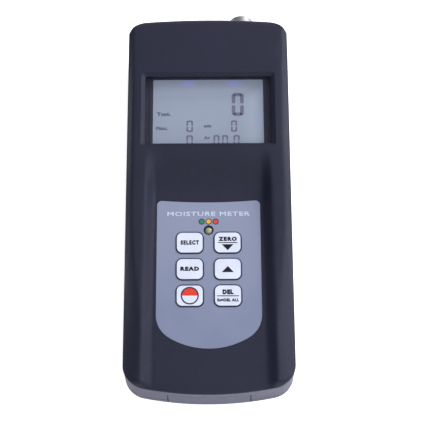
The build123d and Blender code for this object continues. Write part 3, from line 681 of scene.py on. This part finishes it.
def finish_pieces():
    """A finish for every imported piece."""
    low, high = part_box("rear_shell")
    parting = high.z / MM
    crevice = (parting - 0.3, parting + 0.75)
    black_tones = (0.0075, 0.0085, 0.0220), (0.0090, 0.0102, 0.0255)
    grey_tones = (0.070, 0.074, 0.112), (0.083, 0.087, 0.130)
    black = moulded_housing("moulded_black", *black_tones, *crevice)
    grey = moulded_housing("moulded_grey", *grey_tones, *crevice)
    steel = fine_metal("zinc_plated", (0.62, 0.62, 0.63), 0.28)
    tinned = fine_metal("tinned", (0.78, 0.78, 0.77), 0.25)
    nickel = plated("nickel_plated", (0.30, 0.295, 0.31), 0.48)
    chip = moulded("chip_black", (0.02, 0.02, 0.022), 0.45, 0.2)
    button = moulded("button_black", (0.014, 0.014, 0.015), 0.4, 0.2)
    looks = {
        "front_shell": black,
        "rear_shell": grey,
        "battery_door": grey,
        "display_window": clear_lens(),
        "keypad_overlay": printed_film(),
        "status_led": lamp_lens(),
        "lcd_glass": display_glass((-8.3, 11.0), 53.4),
        "lcd_frame": moulded("holder_black", (0.013, 0.014, 0.036), 0.45, 0.4, shine=0.15),
        "light_guide": moulded("guide_white", (0.75, 0.78, 0.82), 0.35, 0.5, 0.01),
        "backlight_leds": moulded("lamp_white", (0.8, 0.82, 0.84), 0.3, 0.5, 0.01),
        "contact_strips": moulded("strip_rubber", (0.08, 0.08, 0.085), 0.7, 0.15),
        "main_board": solder_mask(),
        "controller_chip": chip,
        "signal_chips": chip,
        "buzzer": chip,
        "switch_bodies": chip,
        "clock_crystal": tinned,
        "led_legs": tinned,
        "socket_leads": tinned,
        "housing_screws": steel,
        "board_screws": steel,
        "battery_springs": steel,
        "battery_contacts": steel,
        "battery_cells": cell_sleeve(),
        "socket_barrel": nickel,
        "socket_nut": nickel,
        "socket_washer": nickel,
        "socket_core": moulded("core_white", (0.78, 0.77, 0.74), 0.35, 0.3, 0.005),
        "socket_contact": plated("gold_plated", (0.83, 0.62, 0.26), 0.2),
    }
    for node, material in looks.items():
        cover(node, material)
    for node in NODES:
        if node.endswith("_switch_button"):
            cover(node, button)
        elif node.endswith("_key"):
            cover(node, key_print(node))


def light_room():
    """Pale floor, a soft sky that is brighter to the right, and two large soft lights."""
    world = bpy.data.worlds.new("studio")
    bpy.context.scene.world = world
    world.use_nodes = True
    tree = world.node_tree
    sky = tree.nodes["Background"]
    way = tree.nodes.new("ShaderNodeTexCoord")
    split = tree.nodes.new("ShaderNodeSeparateXYZ")
    fall = tree.nodes.new("ShaderNodeMapRange")
    reach = 0.9
    fall.inputs["From Min"].default_value = -reach
    fall.inputs["From Max"].default_value = reach
    fall.inputs["To Min"].default_value = SKY_LEFT
    fall.inputs["To Max"].default_value = SKY_RIGHT
    tree.links.new(way.outputs["Generated"], split.inputs["Vector"])
    tree.links.new(split.outputs["X"], fall.inputs["Value"])
    tree.links.new(fall.outputs["Result"], sky.inputs["Strength"])
    sky.inputs["Color"].default_value = (0.95, 0.96, 1.0, 1.0)
    bpy.context.scene.view_settings.view_transform = "Standard"

    shape = bmesh.new()
    bmesh.ops.create_grid(shape, x_segments=1, y_segments=1, size=1.5)
    mesh = bpy.data.meshes.new("floor")
    shape.to_mesh(mesh)
    shape.free()
    floor = bpy.data.objects.new("floor", mesh)
    bpy.context.collection.objects.link(floor)
    paper = Finish("floor_paper", Roughness=0.85, Emission_Strength=FLOOR_GLOW)
    fibre = paper.noise(3, 3.0)
    tone = paper.mix(fibre, (0.90, 0.90, 0.905), (0.93, 0.93, 0.935))
    paper.set(Base_Color=tone, Emission_Color=tone)
    mesh.materials.append(paper.material)

    def soft_light(name, place, target, size, power, colour):
        lamp = bpy.data.lights.new(name, "AREA")
        lamp.shape = "DISK"
        lamp.size = size
        lamp.energy = power
        lamp.color = colour
        holder = bpy.data.objects.new(name, lamp)
        bpy.context.collection.objects.link(holder)
        holder.location = place
        holder.rotation_euler = (Vector(target) - Vector(place)).to_track_quat("-Z", "Y").to_euler()

    soft_light("right_light", (0.60, 0.38, 0.45), (0, 0, 0), 0.6, 7.5, (1.0, 0.99, 0.98))
    soft_light("near_light", (0.12, -0.36, 0.80), (0, 0, 0), 0.5, 2.2, (0.98, 0.99, 1.0))


def set_camera():
    """Camera above the battery end, looking down on the front."""
    tilt = math.radians(22.0)
    roll = math.radians(-0.30)
    distance = 0.5917
    target = Vector((2.62 * MM, -2.69 * MM, 14 * MM))
    data = bpy.data.cameras.new("camera")
    data.lens = 118.7
    data.sensor_width = 36.0
    camera = bpy.data.objects.new("camera", data)
    bpy.context.collection.objects.link(camera)
    camera.location = target + distance * Vector((0, -math.sin(tilt), math.cos(tilt)))
    turn = Matrix.Rotation(tilt, 4, "X") @ Matrix.Rotation(roll, 4, "Z")
    camera.rotation_euler = turn.to_euler()
    bpy.context.scene.camera = camera


set_camera()
light_room()
finish_pieces()
BLACK_INK = ink("black_ink", (0.006, 0.006, 0.016))
NAVY_INK = ink("navy_ink", (0.013, 0.017, 0.055))
WHITE_INK = ink("white_ink", (0.60, 0.64, 0.76), 0.4, 0.06)
print_keys(BLACK_INK, ink("red_ink", (0.64, 0.047, 0.024)), WHITE_INK, NAVY_INK)
print_overlay(
    ink("title_ink", (0.47, 0.52, 0.67), 0.4, 0.06),
    NAVY_INK,
    [
        ("green", ink("green_ink", (0.030, 0.20, 0.10))),
        ("amber", ink("amber_ink", (0.72, 0.38, 0.055))),
        ("red", ink("red_dot_ink", (0.62, 0.055, 0.05))),
    ],
)
draw_display(
    ink("segment_ink", (0.125, 0.120, 0.210), 0.35, 0.08),
    ink("label_ink", (0.120, 0.125, 0.225), 0.35, 0.08),
)
